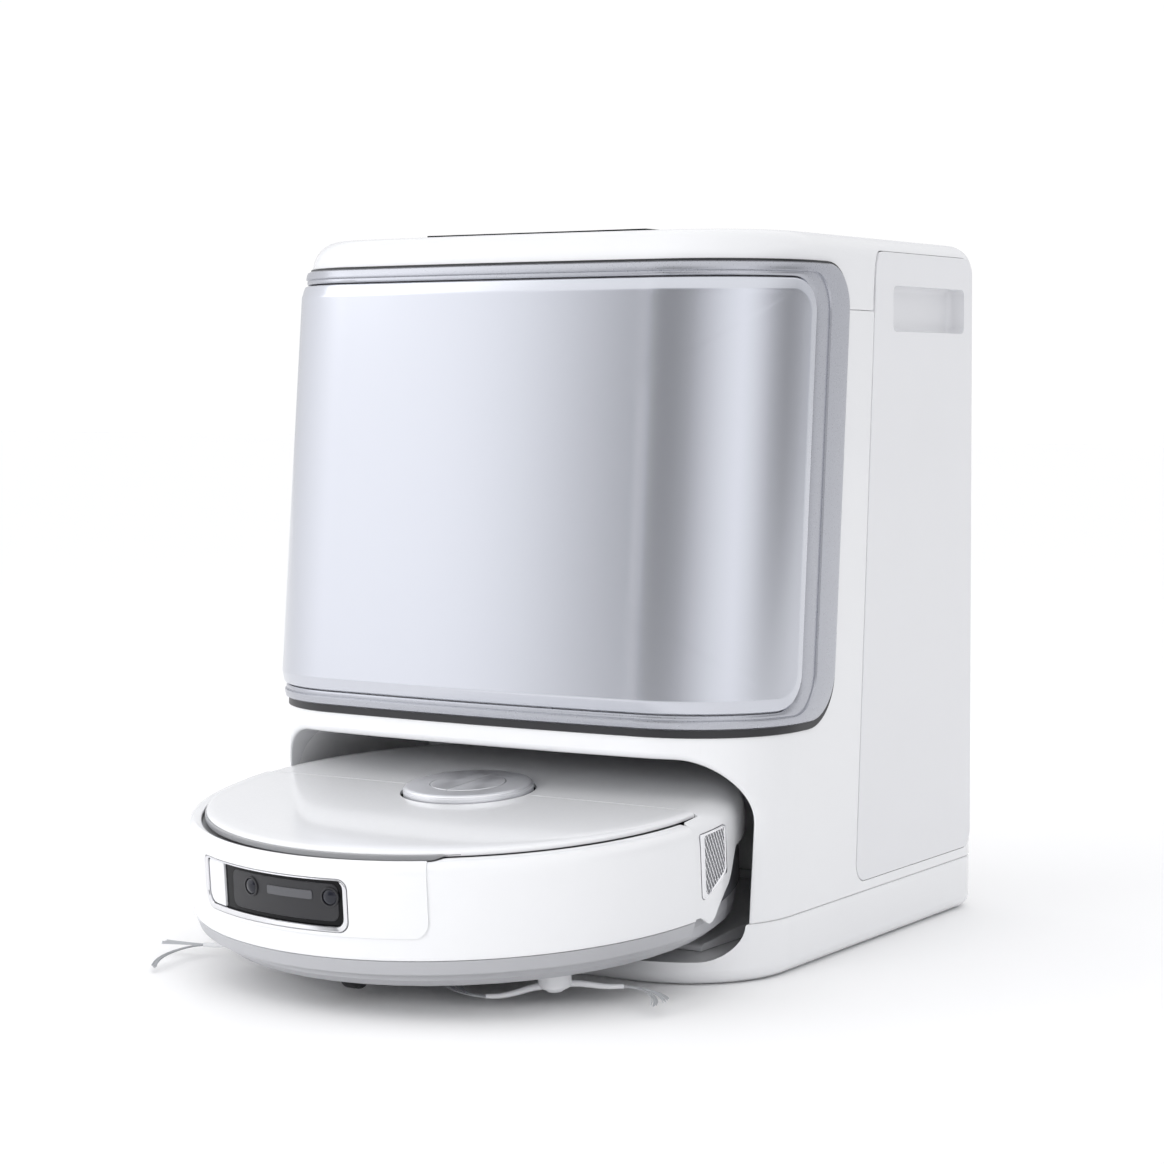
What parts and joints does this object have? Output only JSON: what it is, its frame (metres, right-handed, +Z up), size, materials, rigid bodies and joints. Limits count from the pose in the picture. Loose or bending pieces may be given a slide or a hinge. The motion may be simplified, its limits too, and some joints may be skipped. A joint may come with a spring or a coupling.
{
  "type": "robot vacuum",
  "caption": "Round robot vacuum with spinning mops and side brushes, parked half way into an upright base station with a curved door, hinged top lid, water tanks and wash tray.",
  "frame": {"origin": "on the floor under the station's centre line, about midway from its front to its back", "axes": "+Z up, +Y from the robot's nose towards the station's back, +X to the station's right as seen from the front"},
  "size_m": [0.388, 0.5385, 0.4623],
  "materials": {
    "white": "gloss",
    "soft_white": "satin",
    "silver": "satin metallic",
    "chrome": "polished",
    "grey": "satin",
    "dark": "matte",
    "black_glass": "gloss",
    "rubber": "matte",
    "tank": "gloss",
    "dirty": "gloss",
    "fabric": "woven",
    "bristle": "matte",
    "metal": "polished",
    "battery": "matte"
  },
  "bodies": {
    "station": {"base_tray": "white", "wash_tray": "soft_white", "foot_front_left": "rubber", "foot_front_right": "rubber", "foot_rear_left": "rubber", "foot_rear_right": "rubber", "main_shell": "white", "bay_liner": "grey", "rear_cover": "soft_white", "power_inlet": "dark", "side_panel_left": "soft_white", "side_panel_right": "soft_white", "door_frame": "silver", "lid_hinge_rod": "metal", "clean_tank": "tank", "dirty_tank": "dirty", "clean_tank_cap": "grey", "dirty_tank_cap": "grey", "dust_bag": "fabric", "detergent_bottle": "soft_white", "suction_motor": "dark", "water_pump": "grey"},
    "lid": {"top_lid": "white", "lid_display": "black_glass"},
    "door": {"front_door": "silver"},
    "contact_left": {"contact_left": "metal"},
    "contact_right": {"contact_right": "metal"},
    "robot": {"chassis": "grey", "rear_shell": "white", "turret_cap": "silver", "side_grille_left": "chrome", "side_grille_right": "chrome", "brush_cover": "grey", "dust_bin": "tank", "battery": "battery", "suction_fan": "dark"},
    "robot_lid": {"front_lid": "white"},
    "bumper": {"bumper": "white", "bumper_skirt": "grey", "window_bezel": "chrome", "camera_window": "black_glass", "status_light": "grey", "lens_left": "black_glass", "lens_right": "black_glass"},
    "power_button": {"power_button": "chrome"},
    "home_button": {"home_button": "chrome"},
    "lidar": {"lidar": "dark"},
    "arm_left": {"suspension_arm_left": "dark"},
    "arm_right": {"suspension_arm_right": "dark"},
    "wheel_left": {"drive_wheel_left": "rubber"},
    "wheel_right": {"drive_wheel_right": "rubber"},
    "caster_fork": {"caster_fork": "dark"},
    "caster_wheel": {"caster_wheel": "rubber"},
    "main_brush": {"main_brush": "rubber"},
    "side_brush_left": {"side_brush_left": "bristle"},
    "side_brush_right": {"side_brush_right": "bristle"},
    "mop_drive_left": {"mop_plate_left": "dark"},
    "mop_drive_right": {"mop_plate_right": "dark"},
    "mop_left": {"mop_pad_left": "fabric"},
    "mop_right": {"mop_pad_right": "fabric"}
  },
  "joints": [
    {"name": "lid_hinge", "type": "hinge", "parent": "station", "child": "lid", "pos_m": [0, 0.1822, 0.413], "axis": [-1, 0, 0], "range_deg": [0, 80]},
    {"name": "door_hinge", "type": "hinge", "parent": "station", "child": "door", "pos_m": [-0.1934, -0.08106, 0.3], "axis": [0, -0.0877, -0.9962], "range_deg": [0, 100]},
    {"name": "contact_left_press", "type": "slide", "parent": "station", "child": "contact_left", "axis": [0, 1, 0], "range_m": [0, 0.003], "stiffness_N_per_m": 500, "springref_m": -0.001},
    {"name": "contact_right_press", "type": "slide", "parent": "station", "child": "contact_right", "axis": [0, 1, 0], "range_m": [0, 0.003], "stiffness_N_per_m": 500, "springref_m": -0.001},
    {"name": "robot_drive_out", "type": "slide", "parent": "station", "child": "robot", "axis": [0, -1, 0], "range_m": [0, 0.35]},
    {"name": "robot_lid_hinge", "type": "hinge", "parent": "robot", "child": "robot_lid", "pos_m": [0, -0.17657, 0.11098], "axis": [-1, 0, 0], "range_deg": [0, 60]},
    {"name": "bumper_press", "type": "slide", "parent": "robot", "child": "bumper", "axis": [0, 0.9972, 0.0749], "range_m": [0, 0.0025], "stiffness_N_per_m": 400, "springref_m": -0.001},
    {"name": "power_button_press", "type": "slide", "parent": "robot", "child": "power_button", "axis": [0, 0.0749, -0.9972], "range_m": [0, 0.001], "stiffness_N_per_m": 400, "springref_m": -0.0002},
    {"name": "home_button_press", "type": "slide", "parent": "robot", "child": "home_button", "axis": [0, 0.0749, -0.9972], "range_m": [0, 0.001], "stiffness_N_per_m": 400, "springref_m": -0.0002},
    {"name": "lidar_spin", "type": "hinge", "parent": "robot", "child": "lidar", "pos_m": [0, -0.17641, 0.10076], "axis": [0, -0.0749, 0.9972], "continuous": true},
    {"name": "suspension_left", "type": "hinge", "parent": "robot", "child": "arm_left", "pos_m": [-0.097, -0.21288, 0.05239], "axis": [1, 0, 0], "range_deg": [0, 15], "stiffness_Nm_per_rad": 2, "springref_deg": -8.59},
    {"name": "suspension_right", "type": "hinge", "parent": "robot", "child": "arm_right", "pos_m": [0.097, -0.21288, 0.05239], "axis": [1, 0, 0], "range_deg": [0, 15], "stiffness_Nm_per_rad": 2, "springref_deg": -8.59},
    {"name": "wheel_left_spin", "type": "hinge", "parent": "arm_left", "child": "wheel_left", "pos_m": [-0.117, -0.17255, 0.0494], "axis": [1, 0, 0], "continuous": true},
    {"name": "wheel_right_spin", "type": "hinge", "parent": "arm_right", "child": "wheel_right", "pos_m": [0.117, -0.17255, 0.0494], "axis": [1, 0, 0], "continuous": true},
    {"name": "caster_swivel", "type": "hinge", "parent": "robot", "child": "caster_fork", "pos_m": [0, -0.29884, 0.02186], "axis": [0, -0.0749, 0.9972], "continuous": true},
    {"name": "caster_spin", "type": "hinge", "parent": "caster_fork", "child": "caster_wheel", "pos_m": [0, -0.29636, 0.01553], "axis": [1, 0, 0], "continuous": true},
    {"name": "main_brush_spin", "type": "hinge", "parent": "robot", "child": "main_brush", "pos_m": [0, -0.22131, 0.031], "axis": [1, 0, 0], "continuous": true},
    {"name": "side_brush_left_spin", "type": "hinge", "parent": "robot", "child": "side_brush_left", "pos_m": [-0.112, -0.25019, 0.01509], "axis": [0, -0.0749, 0.9972], "continuous": true},
    {"name": "side_brush_right_spin", "type": "hinge", "parent": "robot", "child": "side_brush_right", "pos_m": [0.112, -0.25019, 0.01509], "axis": [0, -0.0749, 0.9972], "continuous": true},
    {"name": "mop_lift_left", "type": "slide", "parent": "robot", "child": "mop_drive_left", "axis": [0, -0.0749, 0.9972], "range_m": [0, 0.006]},
    {"name": "mop_lift_right", "type": "slide", "parent": "robot", "child": "mop_drive_right", "axis": [0, -0.0749, 0.9972], "range_m": [0, 0.006]},
    {"name": "mop_left_spin", "type": "hinge", "parent": "mop_drive_left", "child": "mop_left", "pos_m": [-0.062, -0.09275, 0.02842], "axis": [0, -0.0749, 0.9972], "continuous": true},
    {"name": "mop_right_spin", "type": "hinge", "parent": "mop_drive_right", "child": "mop_right", "pos_m": [0.062, -0.09275, 0.02842], "axis": [0, -0.0749, 0.9972], "continuous": true}
  ],
  "couplings": [
    {"joint": "mop_right_spin", "follows": "mop_left_spin", "ratio": -1}
  ]
}
